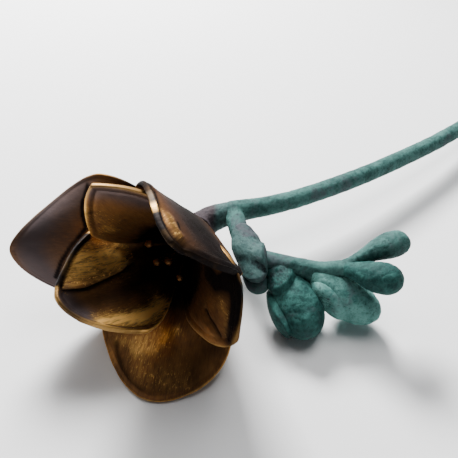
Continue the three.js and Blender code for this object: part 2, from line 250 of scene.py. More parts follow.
def verdigris(name, deep, chalk, slate, chalkiness=0.0):
    """Green patina: deep where it is thin, chalk where it is thick, slate where metal shows through."""
    material, start, shader = new_material(name)
    place = start.node("ShaderNodeTexCoord", output=OBJECT_COORDINATES)
    cloud, patches = cloudy(place, 170, 7, CRUST_ROUGHNESS), cloudy(place, 75, 4, CRUST_ROUGHNESS, 0.7)
    specks, grain = cloudy(place, 620, 5, CRUST_ROUGHNESS, 0.4), cloudy(place, 2100, 3, CRUST_ROUGHNESS)
    crease_shade, bare = stored(start, "crease_shade"), stored(start, "bare")

    chalky = (cloud * 0.5 + specks * 0.5 + chalkiness).ramp(0.36, 0.64)
    slaty = (patches * 0.7 + specks * 0.3).ramp(0.52, 0.64) * 0.75
    uncovered = (bare + (cloud - 0.5) * 0.6).ramp(0.3, 0.8)
    pitted = specks.ramp(0.60, 0.70) * (0.35 + cloud * 0.5)
    # Pits and creases go dark; in the creases that is painted shade
    pits_and_crease_shade = (crease_shade + pitted * 0.7).capped()

    colour = chalky.blend(deep, chalk)
    colour = slaty.blend(colour, slate)
    colour = uncovered.blend(colour, UMBER)
    colour = pits_and_crease_shade.blend(colour, PIT_AND_SHADE)

    height = cloud * 0.4 + specks * 0.35 + grain * 0.25 - pitted * 0.3
    bump = start.node("ShaderNodeBump", {}, {"Strength": 0.7, "Distance": 0.0004, "Height": height})
    feed(shader, Base_Color=colour, Roughness=0.70 + 0.2 * chalky, Normal=bump)
    shader.inputs["Metallic"].default_value = 0.1
    shader.inputs["Specular IOR Level"].default_value = 0.15
    return material


stem_patina = verdigris(
    "stem_patina", rgb(0.014, 0.050, 0.046), rgb(0.066, 0.165, 0.147), rgb(0.050, 0.060, 0.070))
deep_patina = verdigris(
    "deep_patina", rgb(0.008, 0.042, 0.038), rgb(0.045, 0.150, 0.130), rgb(0.030, 0.038, 0.045), -0.04)
mint_patina = verdigris(
    "mint_patina", rgb(0.040, 0.140, 0.124), rgb(0.150, 0.360, 0.320), rgb(0.080, 0.110, 0.120), 0.03)
slate_patina = verdigris(
    "slate_patina", rgb(0.024, 0.060, 0.058), rgb(0.080, 0.150, 0.140), rgb(0.055, 0.050, 0.064), -0.03)
print("patinas: stem, deep, mint and slate")

# %% [markdown]
# ## The bloom's axes
# All six petals start from one point and open round one axis. The axis points towards the viewer's
# left and a little up, as the bloom lies. Petals that are placed by such an axis turn with it, and
# their claws always meet at the flower tube.

# %% Axes of the bloom
BLOOM_BASE = np.array((-9.6, -14.2, 11.8))
BLOOM_HEADING = math.radians(253.5)
BLOOM_RISE = math.radians(18)

axis = np.array((
    math.cos(BLOOM_RISE) * math.cos(BLOOM_HEADING),
    math.cos(BLOOM_RISE) * math.sin(BLOOM_HEADING),
    math.sin(BLOOM_RISE)))
# The other two directions: up and sideways, square to the axis
top = np.array((0, 0, 1)) - axis * axis[2]
top /= np.linalg.norm(top)
side = np.cross(top, axis)
print("bloom opens along", axis.round(2))

# %% [markdown]
# ## Petals
# A petal is a sheet of bronze: narrow at its claw, wide near the tip, arched across and flared
# outwards. One formula gives its middle surface from a few numbers, the same as on the drawing. A grid
# is laid out over the flat outline first, so that its squares stay square up to the round tip, and then
# bent. Modelling each petal by hand would drift from the measured sizes.
#
# claw is the radius that the petal stands on, turn where it stands round the axis, and flare how far
# it opens at its claw and how that changes towards its tip, in degrees. half_width, widest and round
# come in pairs, for the two sides of the midrib: millimetres, where along the petal it is widest, and
# how full the tip is. ease is how late it widens, and point how sharp its tip is, where 0.5 is round.
# cup arches it, per millimetre, at its claw and tip, lean and twist turn its tip, in degrees, roll
# bends its margins out, and uneven arches one half more than the other.

# %% Petal sizes
OUTER_CLAW, INNER_CLAW = 4.4, 2.8

petals = {
    "petal_outer_left": dict(
        claw=OUTER_CLAW, turn=273.6, flare=(13.6, 38, 39.7), length=47.2, ease=1.25,
        half_width=(15, 18.9), widest=(0.5, 0.52), round=(1.75, 1.4), point=0.67,
        cup=(0.057, -0.075), lean=-0.9, twist=-6.6, roll=0.17, uneven=0.12),
    "petal_outer_top": dict(
        claw=OUTER_CLAW, turn=28.2, flare=(27.6, 20.6, -44.6), length=50.7, ease=1.45,
        half_width=(14.9, 14.9), widest=(0.555, 0.53), round=(1.75, 2.95), point=0.76,
        cup=(0.095, -0.028), lean=-1.2, twist=9.4, roll=-0.01, uneven=-0.15),
    "petal_outer_bottom": dict(
        claw=OUTER_CLAW, turn=157.3, flare=(10.15, 20.3, 22.4), length=45.15, ease=2,
        half_width=(16.5, 19.4), widest=(0.54, 0.555), round=(2.4, 1.61), point=0.63,
        cup=(0.078, -0.052), lean=14.1, twist=15.6, roll=0.037, uneven=-0.06),
    "petal_inner_top": dict(
        claw=INNER_CLAW, turn=334, flare=(14.9, 26.4, 12.6), length=46, ease=1.5,
        half_width=(9, 11.4), widest=(0.735, 0.61), round=(1.1, 2.25), point=0.8,
        cup=(0.07, 0.05), lean=8.2, twist=-10, roll=0.07, uneven=-0.28),
    "petal_inner_right": dict(
        claw=INNER_CLAW, turn=96.7, flare=(3.9, 34.2, 15.3), length=47.6, ease=2,
        half_width=(15.2, 7.5), widest=(0.66, 0.61), round=(2.7, 1.1), point=0.57,
        cup=(0.084, -0.002), lean=-7.1, twist=10.2, roll=0.08, uneven=-0.09),
    "petal_inner_left": dict(
        claw=INNER_CLAW, turn=219, flare=(7.8, 9.9, -24.3), length=47.5, ease=2.65,
        half_width=(13.6, 13.9), widest=(0.665, 0.685), round=(1.3, 2), point=0.67,
        cup=(-0.032, 0.077), lean=31, twist=14.7, roll=-0.006, uneven=-0.19),
}
print(len(petals), "petals, the longest", max(p["length"] for p in petals.values()), "mm")


# %% Widths
CLAW_FILL = 0.93


def swell(x, start, full, widest, ease, rounding, point=0.5):
    """A width that grows from start to full and closes in a tip, round where point is 0.5."""
    rising = start + (full - start) * np.sin(np.clip(x / widest, 0, 1) * math.pi / 2) ** ease
    past = np.clip((x - widest) / (1 - widest), 0, 1)
    closing = full * np.maximum(0, 1 - past ** rounding) ** point
    return np.where(x < widest, rising, closing)


def half_width(shape, x, hand):
    """Millimetres from the midrib to the margin, on the side that hand (-1 or 1) names."""
    halves = [swell(
        x, shape["claw"] * CLAW_FILL, shape["half_width"][k], shape["widest"][k],
        shape["ease"], shape["round"][k], shape["point"]) for k in (0, 1)]
    return np.where(np.asarray(hand) < 0, *halves)


print("widest petal:", round(max(sum(p["half_width"]) for p in petals.values()), 1), "mm")


# %% [markdown]
# The flat petal is bent in two ways: its midrib curves out of the bloom, and each cross-section is an
# arc round the midrib. The claw is arched as tightly as the flower tube is round, which fades out
# quickly, and the margins roll outwards with the fourth power of the way to the rim.

# %% The blade formula
CLAW_FADE = 0.12
UNEVEN_FROM = 0.4
MIDRIB_STEPS = 120
STRAIGHT = 1e-6


def midrib_axes(shape, x):
    """Unit vectors along the midrib, sideways and into the bloom, for each x."""
    turn = math.radians(shape["turn"])
    out = top * math.cos(turn) + side * math.sin(turn)
    across = side * math.cos(turn) - top * math.sin(turn)
    flare0, flare1, flare2 = np.radians(shape["flare"])
    flare = (flare0 + flare1 * x + flare2 * x * x)[:, None]
    lean = (math.radians(shape["lean"]) * x)[:, None]
    along = (out * np.sin(flare) + axis * np.cos(flare)) * np.cos(lean) + across * np.sin(lean)
    inward = axis * np.sin(flare) - out * np.cos(flare)
    sideways = np.cross(along, inward)
    sideways /= np.linalg.norm(sideways, axis=1)[:, None]
    return out, along, sideways, np.cross(sideways, along)


def bend_blade(shape, x, arc):
    """Points of the petal's middle surface, from x along it and arc millimetres across it."""
    out, along, _, _ = midrib_axes(shape, (np.arange(MIDRIB_STEPS) + 0.5) / MIDRIB_STEPS)
    midrib = np.vstack([np.zeros(3), np.cumsum(along, axis=0) * shape["length"] / MIDRIB_STEPS])
    midrib += BLOOM_BASE + out * shape["claw"]
    stations = np.linspace(0, 1, MIDRIB_STEPS + 1)
    centre = np.stack([np.interp(x, stations, midrib[:, k]) for k in range(3)], axis=1)
    _, _, sideways, inward = midrib_axes(shape, x)
    twist = (math.radians(shape["twist"]) * x)[:, None]
    right = sideways * np.cos(twist) + inward * np.sin(twist)
    front = inward * np.cos(twist) - sideways * np.sin(twist)
    hand = np.sign(arc) * np.minimum(1, x / UNEVEN_FROM)
    half = half_width(shape, x, arc)
    cup0, cup1 = shape["cup"]
    claw_cup = (1 / shape["claw"] - cup0) * np.exp(-x / CLAW_FADE)
    bend = (cup1 + (cup0 - cup1) * (1 - x) + claw_cup) * (1 + shape["uneven"] * hand)
    bend = np.where(np.abs(bend) < STRAIGHT, STRAIGHT, bend)
    share = np.clip(np.abs(arc) / np.maximum(half, STRAIGHT), 0, 1)
    lateral = np.sin(bend * arc) / bend
    depth = (1 - np.cos(bend * arc)) / bend - shape["roll"] * half * share ** 4
    return centre + right * lateral[:, None] + front * depth[:, None], front


tip, _ = bend_blade(petals["petal_outer_left"], np.array([1.0]), np.array([0.0]))
print("tip of the outer left petal, in mm on the drawing:", tip[0].round(1))


# %% [markdown]
# A square grid is laid over the flat outline by blending its four borders: claw, tip and the two
# margins. The corners at the tip sit on the margins, on the shoulders of the petal, so the round tip
# gets a whole border of the grid and no point where all rows meet.

# %% Laying a grid over the flat outline
SHOULDER = 0.78


def outline_grid(shape, u, v):
    """Maps a square, u across from -1 to 1 and v along from 0 to 1, onto the flat petal."""
    shoulder = [w + SHOULDER * (1 - w) for w in shape["widest"]]

    def edge(x, hand):
        return np.stack([x, hand * half_width(shape, x, hand)], axis=1)

    share = ((u + 1) / 2)[:, None]
    rise = v[:, None]
    hand = np.where(u < 0, -1.0, 1.0)
    none, one = np.zeros_like(u), np.ones_like(u)
    reach = np.where(u < 0, 1 - shoulder[0], 1 - shoulder[1])
    claw = edge(none, hand) * np.stack([one, np.abs(u)], axis=1)
    tip = edge(1 - reach * np.abs(u) ** (1 / shape["point"]), hand)
    left, right = edge(v * shoulder[0], -one), edge(v * shoulder[1], one)
    claw_corners = (1 - share) * edge(none, -one) + share * edge(none, one)
    tip_corners = (1 - share) * edge(shoulder[0] * one, -one) + share * edge(shoulder[1] * one, one)
    ruled = (1 - rise) * claw + rise * tip + (1 - share) * left + share * right
    shared = (1 - rise) * claw_corners + rise * tip_corners
    x, arc = (ruled - shared).T
    return np.clip(x, 0, 1), arc


x, arc = outline_grid(petals["petal_outer_left"], np.array([0.0]), np.array([0.5]))
print("middle of the grid: x", x.round(2), "arc", arc.round(2))


# %% [markdown]
# ## Making a piece
# Every piece is a mesh with its place in its points, so that its object can stay at the origin.

# %% Making a piece
def in_frame(points):
    """Millimetres on the drawing to metres in the frame."""
    return (np.asarray(points, float) + np.array(DRAWING_SHIFT)) * MM


def add_piece(form, name, node, material):
    """Makes an object of the bmesh, which rides on the body and stands for the CAD node."""
    mesh = bpy.data.meshes.new(name)
    form.to_mesh(mesh)
    form.free()
    mesh.shade_smooth()
    piece = bpy.data.objects.new(name, mesh)
    bpy.context.scene.collection.objects.link(piece)
    mesh.materials.append(material)
    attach(piece, "root")
    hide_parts(node)
    return piece


def store(piece, name, values):
    """Keeps one number per point, for the material to read."""
    kept = piece.data.attributes.new(name, "FLOAT", "POINT")
    kept.data.foreach_set("value", np.asarray(values, np.float32))


print("drawing origin in the frame, in m:", in_frame([(0, 0, 0)])[0].round(4))

# %% [markdown]
# ## Marks on the petals
# Each petal has folds, grooves, rubbed and sooty places, painted shade and painted highlights of its
# own. A mark is a stroke across the petal: what it does, how strongly, how wide it is in millimetres,
# and the points that it runs through. A point is how far along the petal it lies, from 0 to 1, and how
# many millimetres from the midrib. "raise" lifts the metal into the bloom, "thick" thickens it, the wear
# marks bare gold, both for real wear and for painted highlights and reflections, "dusk" leaves it
# purple-grey, and the soot marks blacken it, both for dark patina and for painted shade in crevices,
# grooves and along shaded edges.

# %% Marks
GROOVE_OF_THE_SPOON = [(0.83, -8.7), (0.78, -10.1), (0.72, -11.4), (0.65, -12.2)]

marks = {
    # The soot here is painted shade: a thin line where this petal goes behind its neighbours, and a broad
    # darkening of its face
    "petal_outer_left": [
        ("soot_and_shade", 0.95, 0.4, [
            (0.59, 16.2), (0.63, 12.5), (0.635, 10), (0.62, 7.1), (0.70, 2.3), (0.74, -1.2), (0.77, -6)]),
        ("soot_and_shade", 0.5, 13.0, [(0.6, 10), (0.80, 4), (0.80, -5)]),
        ("dusk", 0.7, 4.0, [(0.62, 16), (0.80, 11), (0.88, 6), (0.91, 1), (0.86, -5), (0.78, -10)]),
        ("dusk", 0.4, 10.0, [(0.75, 3), (0.78, -4)]),
        ("wear_and_highlight", 0.10, 3.5, [(0.78, 5), (0.80, 0), (0.76, -4)]),
    ],
    # The soot here is painted shade: short lines, a band towards the throat and a line along the rim
    "petal_inner_top": [
        ("wear_and_highlight", 0.42, 3.2, [(0.83, -4), (0.74, -3.4), (0.68, -5)]),
        ("wear_and_highlight", 0.35, 1.6, [(0.72, -6.4), (0.69, -6.2)]),
        ("soot_and_shade", 0.35, 0.4, [(0.87, -5), (0.84, -3.6)]),
        ("soot_and_shade", 0.9, 3.0, [(0.40, -6), (0.42, 0), (0.40, 6)]),
        ("dusk", 0.75, 3.5, [(0.97, 0), (0.92, 3), (0.85, 5), (0.78, 7)]),
        ("soot_and_shade", 0.45, 0.5, [(1.0, 0), (0.95, 3.9), (0.88, 7.2), (0.80, 9.5)]),
    ],
    # Painted shade here: the soot in the grooves, in the crevice along the outer left petal and under the
    # lower rim. The gold on the raised panel and along the belly is partly painted highlight and reflection
    "petal_inner_left": [
        ("raise", 1.0, 3.4, [(0.92, 6), (0.80, 7.2), (0.68, 6.8), (0.58, 6)]),
        ("raise", -0.8, 0.9, [
            (0.95, 1.7), (0.82, 1.4), (0.74, 2.0), (0.65, 2.5), (0.58, 2.8), (0.53, 3.6)]),
        ("soot_and_shade", 0.8, 0.8, [(0.95, 1.2), (0.82, 1.0), (0.74, 1.6), (0.65, 2.1), (0.58, 2.4), (0.50, 3.2)]),
        ("wear_and_highlight", 1.3, 4.4, [(0.92, 6.2), (0.80, 7.0), (0.68, 6.6), (0.57, 6.3)]),
        ("soot_and_shade", 0.8, 3.2, [(0.90, -2), (0.75, -2), (0.60, -2), (0.45, -1)]),
        ("soot_and_shade", 1.3, 1.3, [
            (0.79, 12.4), (0.85, 11.2), (0.89, 9.7), (0.93, 7.8), (0.96, 5.4), (0.98, 3)]),
        ("wear_and_highlight", 1.6, 2.6, [
            (0.83, -7.6), (0.76, -8.2), (0.68, -9.2), (0.60, -9.8), (0.53, -9.6), (0.48, -8.6)]),
        ("soot_and_shade", 0.9, 0.35, GROOVE_OF_THE_SPOON),
        ("raise", -0.25, 0.5, GROOVE_OF_THE_SPOON),
        ("dusk", 0.9, 3.0, [(0.96, 0), (0.94, -3), (0.89, -5.5)]),
        ("soot_and_shade", 0.6, 0.7, [
            (0.99, -1.5), (0.947, -4.7), (0.903, -6.8), (0.853, -8.9), (0.80, -10.6), (0.717, -12.8)]),
    ],
    # The soot here is painted shade, on the right of the petal, along its margin and over its face
    "petal_outer_bottom": [
        ("wear_and_highlight", 0.75, 1.7, [(0.77, 6), (0.73, 1.8), (0.68, -0.4), (0.63, -2)]),
        ("wear_and_highlight", 0.45, 1.4, [(0.72, 12.8), (0.73, 8.6), (0.69, 4.4), (0.64, 1.5)]),
        ("wear_and_highlight", 0.30, 3.4, [(0.86, 3), (0.88, -2), (0.87, -6)]),
        ("wear_and_highlight", 0.20, 9.0, [(0.78, 6), (0.80, -4)]),
        ("soot_and_shade", 0.2, 12.0, [(0.75, 4), (0.8, -6)]),
        ("soot_and_shade", 0.45, 3.4, [(0.83, -9), (0.77, -8.8), (0.73, -10.5), (0.67, -12)]),
        ("soot_and_shade", 0.6, 0.8, [(0.74, 12.6), (0.80, 11.2), (0.87, 8.6), (0.93, 5.5), (0.95, 2.5)]),
    ],
    # The soot here is painted shade, in its fold, over its lower side and along its rim
    "petal_inner_right": [
        ("wear_and_highlight", 0.55, 1.6, [(0.84, -5), (0.90, -3.8), (0.93, -2.4), (0.94, -0.8)]),
        ("wear_and_highlight", 0.25, 2.2, [(0.74, -2), (0.80, -2.6)]),
        ("raise", -0.4, 0.7, [(0.75, 0), (0.80, 0.6), (0.85, 0.7), (0.90, 1.2)]),
        ("raise", 0.35, 1.2, [(0.76, 2.6), (0.82, 2.9), (0.87, 2.6)]),
        ("soot_and_shade", 0.5, 0.6, [(0.75, 0.1), (0.80, 0.7), (0.85, 0.8), (0.91, 1.4)]),
        ("soot_and_shade", 0.7, 2.5, [(0.70, -8), (0.78, -7.5), (0.84, -9)]),
        ("soot_and_shade", 0.72, 1.8, [(0.84, -12), (0.92, -9), (0.96, -4), (0.97, 0)]),
        ("soot_and_shade", 0.5, 12.0, [(0.7, -4), (0.9, -4)]),
        ("thick", 1.0, 1.7, [(0.92, -10.5), (0.96, -6.8), (0.98, -4.4), (1.0, -1)]),
    ],
    # The gold on the rolled rim is painted highlight; the soot is painted shade in the grooves, along the
    # edges and over the whole outer face
    "petal_outer_top": [
        ("raise", 0.45, 0.9, [
            (0.80, -9), (0.86, -7), (0.91, -5.1), (0.945, -3.5), (0.965, -1.8), (0.975, -0.2), (0.975, 2)]),
        ("raise", -0.4, 1.1, [(0.90, -3.4), (0.935, -1.6), (0.95, 0.2)]),
        ("wear_and_highlight", 0.9, 1.0, [(0.84, -9.2), (0.90, -6.4)]),
        ("soot_and_shade", 0.45, 1.3, [(0.60, -15), (0.69, -13.5), (0.79, -11)]),
        ("wear_and_highlight", 0.35, 1.2, [(0.93, -5), (0.975, -2.2), (0.995, 0)]),
        ("wear_and_highlight", 0.6, 1.3, [(0.89, -3.6), (0.925, -1.6), (0.95, 0.4)]),
        ("soot_and_shade", 0.55, 0.45, [
            (0.80, -9), (0.86, -7), (0.91, -5.1), (0.945, -3.5), (0.968, -1.8), (0.98, -0.2)]),
        ("soot_and_shade", 0.4, 0.5, [(0.88, -1.8), (0.915, -0.6)]),
        ("soot_and_shade", 0.98, 12.0, [(0.3, -6), (0.65, 0), (0.82, 7)]),
        ("soot_and_shade", 0.75, 0.9, [(0.68, -13), (0.75, -11.9), (0.80, -10.7), (0.86, -8.6), (0.88, -7.9)]),
        ("soot_and_shade", 0.75, 0.9, [(0.93, -5.3), (0.97, -2.9), (0.993, -0.9), (1.0, 1)]),
        ("soot_and_shade", 0.55, 1.8, [(1.0, 1.5), (0.97, 5), (0.90, 8.6), (0.82, 11), (0.72, 13)]),
        ("dusk", 0.9, 8.0, [(0.5, -8), (0.7, -3), (0.75, 3), (0.75, 8)]),
    ],
}
print(sum(len(strokes) for strokes in marks.values()), "marks on", len(marks), "petals")


def stroke(flat, path, width):
    """1 on the path and nearly 0 at twice its width, for flat points in millimetres."""
    nearest = np.full(len(flat), np.inf)
    for start, end in zip(path, path[1:]):
        start, run = np.array(start), np.array(end) - np.array(start)
        share = np.clip((flat - start) @ run / (run @ run), 0, 1)
        nearest = np.minimum(nearest, np.linalg.norm(flat - start - share[:, None] * run, axis=1))
    return np.exp(-(nearest / width) ** 2)


def marked(name, kind, x, arc):
    """How strongly the marks of one kind touch each point."""
    length = petals[name]["length"]
    flat = np.stack([x * length, arc], axis=1)
    total = np.zeros_like(x)
    for found, strength, width, path in marks[name]:
        if found == kind:
            total += strength * stroke(flat, [(a * length, b) for a, b in path], width)
    return total


# %% [markdown]
# ## Rims
# Every petal has a bead along its rim, with a shallow groove beside it, and rubbed gold on top. All
# three need the distance to the rim. A kd-tree finds the nearest border point of the mesh, and the
# distance is then taken to the two border edges that meet there. The distance to the point alone would
# swell and shrink between the points and draw scallops.

# %% Distance to the rim
def rim_distance(form, places, is_rim):
    """Millimetres from each place to the nearest rim, of the border points that count as a rim."""
    rims = [p.index for p in form.verts if p.is_boundary and is_rim[p.index]]
    tree = kdtree.KDTree(len(rims))
    beside = {}
    for k in rims:
        tree.insert(places[k], k)
        point = form.verts[k]
        beside[k] = [e.other_vert(point).index for e in point.link_edges if e.is_boundary]
    tree.balance()
    nearest = np.array([tree.find(p)[1] for p in places])
    distance = np.full(len(places), np.inf)
    for hand in (0, 1):
        run = places[[beside[k][hand] for k in nearest]] - places[nearest]
        share = np.clip(((places - places[nearest]) * run).sum(1) / (run ** 2).sum(1), 0, 1)
        away = places - places[nearest] - share[:, None] * run
        distance = np.minimum(distance, np.linalg.norm(away, axis=1))
    return distance


def ridge(distance, place, width):
    """1 at a distance from the rim, falling off on both sides of it."""
    return np.exp(-((distance - place) / width) ** 2)


print("a ridge and 1 mm beside it:", ridge(np.array([0.4, 1.4]), 0.4, 0.5).round(3))

# %% [markdown]
# ## Petal walls
# A petal is modelled as a sheet without thickness. A Solidify modifier then gives it its wall, with a
# vertex group that makes it thicker at the rim, and a Subdivision Surface rounds the rim. The wall
# comes last, so that both of its faces follow every fold. The petal's own map is a UV map in metres, so
# that the brushed streaks have their real size.

# %% Map and wall of a petal
PETAL_THICKNESS = 1.1
BEAD_PLACE, BEAD_WIDTH = 0.4, 0.5


def lay_blade_map(form, along, across):
    """Gives the bmesh a UV map called blade, in metres along and across the petal."""
    layer = form.loops.layers.uv.new("blade")
    for face in form.faces:
        for loop in face.loops:
            loop[layer].uv = (along[loop.vert.index], across[loop.vert.index])


def give_wall(piece, margin, thick):
    """Half of the full wall everywhere, a little more in the bead and nearly all where it is thick."""
    lip = piece.vertex_groups.new(name="lip")
    shares = 0.5 + 0.06 * ridge(margin, BEAD_PLACE, BEAD_WIDTH) + 0.38 * thick
    for k, share in enumerate(shares):
        lip.add([k], float(share), "REPLACE")
    wall = piece.modifiers.new("wall", "SOLIDIFY")
    wall.thickness = 2 * PETAL_THICKNESS * MM
    wall.offset = 0
    wall.vertex_group = "lip"
    smooth = piece.modifiers.new("smooth", "SUBSURF")
    smooth.levels = smooth.render_levels = 1


print("petal wall:", PETAL_THICKNESS, "mm")

# %% [markdown]
# ## Modelling the petals
# The grid is bent to the formula's middle surface, and lifted a little where it is beaded, hammered or
# marked. What the bronze has to know is stored on its points: the distance to the rim, the wear and
# painted highlight, the dusk, and the soot and painted shade, which is thickest in the throat.

# %% Modelling the petals
PETAL_ROWS, PETAL_COLUMNS = 104, 78
RIM_BEAD, RIM_GROOVE = 0.20, 0.12
GROOVE_PLACE, GROOVE_WIDTH = 1.5, 0.45
HAMMER_SCALE, HAMMER_DEPTH = 0.16, 0.14
SMOOTH_CLAW = 0.3
TABLE_CLEARANCE = 0.35
THROAT_SOOT_AND_SHADE_FADE = 0.045
# How far out of the throat the soot and painted shade reach on each petal
THROAT_SOOT_AND_SHADE_REACH = {
    "petal_outer_left": 0.45, "petal_outer_top": 0.10, "petal_outer_bottom": 0.54,
    "petal_inner_top": 0.37, "petal_inner_right": 0.59, "petal_inner_left": 0.40,
}


def make_petal(name):
    shape = petals[name]
    form = bmesh.new()
    bmesh.ops.create_grid(form, x_segments=PETAL_COLUMNS, y_segments=PETAL_ROWS, size=1)
    form.verts.ensure_lookup_table()
    flat = np.array([p.co for p in form.verts])
    x, arc = outline_grid(shape, flat[:, 0], (flat[:, 1] + 1) / 2)
    bent, front = bend_blade(shape, x, arc)
    on_the_claw = flat[:, 1] < -0.999
    margin = rim_distance(form, bent, ~on_the_claw)
    bead = RIM_BEAD * ridge(margin, BEAD_PLACE, BEAD_WIDTH)
    bead = bead - RIM_GROOVE * ridge(margin, GROOVE_PLACE, GROOVE_WIDTH)
    hammered = np.array([noise.fractal(Vector(p) * HAMMER_SCALE, 1.0, 2.0, 3) for p in bent]) * HAMMER_DEPTH
    lift = (bead + hammered) * np.clip(x / SMOOTH_CLAW, 0, 1) + marked(name, "raise", x, arc)
    bent = bent + front * lift[:, None]
    bent[:, 2] = np.maximum(bent[:, 2], TABLE_CLEARANCE)
    for p, place in zip(form.verts, in_frame(bent)):
        p.co = place
    lay_blade_map(form, x * shape["length"] * MM, arc * MM)
    piece = add_piece(form, "cast_" + name, name, petal_bronze)
    # The throat is darkened, as dark patina and as painted shade where little light gets in
    throat = 1 / (1 + np.exp((x - THROAT_SOOT_AND_SHADE_REACH[name]) / THROAT_SOOT_AND_SHADE_FADE))
    store(piece, "margin", margin)
    store(piece, "wear_and_highlight", marked(name, "wear_and_highlight", x, arc))
    store(piece, "dusk", marked(name, "dusk", x, arc))
    store(piece, "soot_and_shade", np.clip(throat + marked(name, "soot_and_shade", x, arc), 0, 1))
    give_wall(piece, margin, np.clip(marked(name, "thick", x, arc), 0, 1))
    return piece


cast_petals = [make_petal(name) for name in petals]
print(len(cast_petals), "petals of", PETAL_COLUMNS, "x", PETAL_ROWS, "squares")

# %% [markdown]
# ## Limbs
# The stem, the spike and its stalks are rods of changing thickness. Each is swept as rings along a
# smooth line. Cast metal has no seams where limbs meet, so the rods of the stem are fused: a voxel
# remesh joins them into one skin, and a few rounds of smoothing soften the forks.

# %% A smooth line through points
CURVE_STEPS = 60
STEP_ASIDE = 0.05


def smooth_line(stops, count, spacing=1.0):
    """Steps along a smooth curve through the stops, from 0 to 1, with their points and directions.

    They are even at a spacing of 1, and a larger one bunches them towards the end.
    """
    stops = np.asarray(stops, float)
    stops = np.vstack([2 * stops[0] - stops[1], stops, 2 * stops[-1] - stops[-2]])
    dense = []
    for p0, p1, p2, p3 in zip(stops, stops[1:], stops[2:], stops[3:]):
        gap0, gap1, gap2 = (np.linalg.norm(b - a) ** 0.5 for a, b in ((p0, p1), (p1, p2), (p2, p3)))
        leave = ((p1 - p0) / gap0 - (p2 - p0) / (gap0 + gap1) + (p2 - p1) / gap1) * gap1
        reach = ((p2 - p1) / gap1 - (p3 - p1) / (gap1 + gap2) + (p3 - p2) / gap2) * gap1
        t = np.linspace(0, 1, CURVE_STEPS)[:, None]
        dense.append(
            p1 + leave * t + (3 * (p2 - p1) - 2 * leave - reach) * t ** 2
            + (leave + reach - 2 * (p2 - p1)) * t ** 3)
    dense = np.vstack(dense)
    length = np.concatenate([[0], np.cumsum(np.linalg.norm(np.diff(dense, axis=0), axis=1))])
    t = 1 - (1 - np.linspace(0, 1, count)) ** spacing

    def at(distance):
        return np.stack([np.interp(distance, length, dense[:, k]) for k in range(3)], axis=1)

    line = at(t * length[-1])
    direction = at(t * length[-1] + STEP_ASIDE) - at(t * length[-1] - STEP_ASIDE)
    return t, line, direction / np.linalg.norm(direction, axis=1)[:, None]


_, line, _ = smooth_line([(0, 0, 0), (10, 0, 0), (10, 10, 0)], 3)
print("halfway round a corner, in mm:", line[1].round(1))

# %% Sweeping a rod
THINNEST = 0.02


def sweep(form, stops, radius_at, rings, sides, spacing=1.0):
    """Adds a closed rod to the bmesh: a circle that is extruded from ring to ring."""
    shares, line, direction = smooth_line(stops, rings, spacing)
    ring = None
    for here, way, share in zip(in_frame(line), direction, shares):
        radius = max(radius_at(share), THINNEST) * MM
        turn = Vector(way).to_track_quat("Z", "Y").to_matrix().to_4x4()
        if ring is None:
            made = bmesh.ops.create_circle(
                form, cap_ends=True, segments=sides, radius=radius, matrix=Matrix.Translation(here) @ turn)
            ring = made["verts"]
            edges = [e for e in form.edges if e.verts[0] in ring and e.verts[1] in ring]
        else:
            made = bmesh.ops.extrude_edge_only(form, edges=edges)["geom"]
            ring = [g for g in made if isinstance(g, bmesh.types.BMVert)]
            edges = [g for g in made if isinstance(g, bmesh.types.BMEdge)]
            edges = [e for e in edges if all(v in ring for v in e.verts)]
            middle = sum((v.co for v in ring), Vector()) / len(ring)
            spread = (ring[0].co - middle).length
            untwist = Matrix.Translation(here) @ turn @ last_turn.inverted() @ Matrix.Translation(-middle)
            bmesh.ops.transform(form, matrix=untwist, verts=ring)
            bmesh.ops.scale(
                form, vec=(radius / spread,) * 3, space=Matrix.Translation(-Vector(here)), verts=ring)
        last_turn = turn
    bmesh.ops.contextual_create(form, geom=edges)


trial = bmesh.new()
sweep(trial, [(0, 0, 0), (0, 0, 5), (0, 0, 10)], lambda t: 1.0, rings=3, sides=8)
print("a trial rod has", len(trial.faces), "faces")
trial.free()

# %% Fusing the rods
def soften(form, factor):
    """Moves each point towards the middle of its neighbours, by the factor."""
    bmesh.ops.smooth_vert(
        form, verts=form.verts, factor=factor, use_axis_x=True, use_axis_y=True, use_axis_z=True)


def fuse(form, name, voxel, rounds):
    """One skin round all the rods in the bmesh, softened where they meet."""
    bmesh.ops.recalc_face_normals(form, faces=form.faces)
    mesh = bpy.data.meshes.new(name)
    form.to_mesh(mesh)
    form.free()
    rods = bpy.data.objects.new(name, mesh)
    bpy.context.scene.collection.objects.link(rods)
    skin = rods.modifiers.new("fuse", "REMESH")
    skin.mode = "VOXEL"
    skin.voxel_size = voxel * MM
    evaluated = rods.evaluated_get(bpy.context.evaluated_depsgraph_get())
    fused = bmesh.new()
    fused.from_mesh(evaluated.to_mesh())
    evaluated.to_mesh_clear()
    bpy.data.objects.remove(rods)
    for _ in range(rounds):
        soften(fused, 0.5)
    print(name, "fused from rods:", len(fused.verts), "points")
    return fused


# %% [markdown]
# A casting is never smooth: wax and sand leave lumps of a few millimetres and pits of under one.
# Fractal noise moves each point along its normal. A pit is deeper than a grain is high, so the noise
# of the pits is cut off on the outer side. Nothing is pushed through the table.

# %% Rough casting
LUMPS_PER_METRE, PITS_PER_METRE = 260, 1100
PIT_CEILING = 0.2


def roughen(form, lumps, pits):
    """Pushes each point in or out a little, by up to about so many millimetres of lumps and pits."""
    form.normal_update()
    for p in form.verts:
        big = noise.fractal(p.co * LUMPS_PER_METRE, 1.0, 2.0, 3)
        small = noise.fractal(p.co * PITS_PER_METRE, 0.9, 2.0, 3)
        p.co += p.normal * (big * lumps + min(small, PIT_CEILING) * pits) * MM
        p.co.z = max(p.co.z, 0.0)


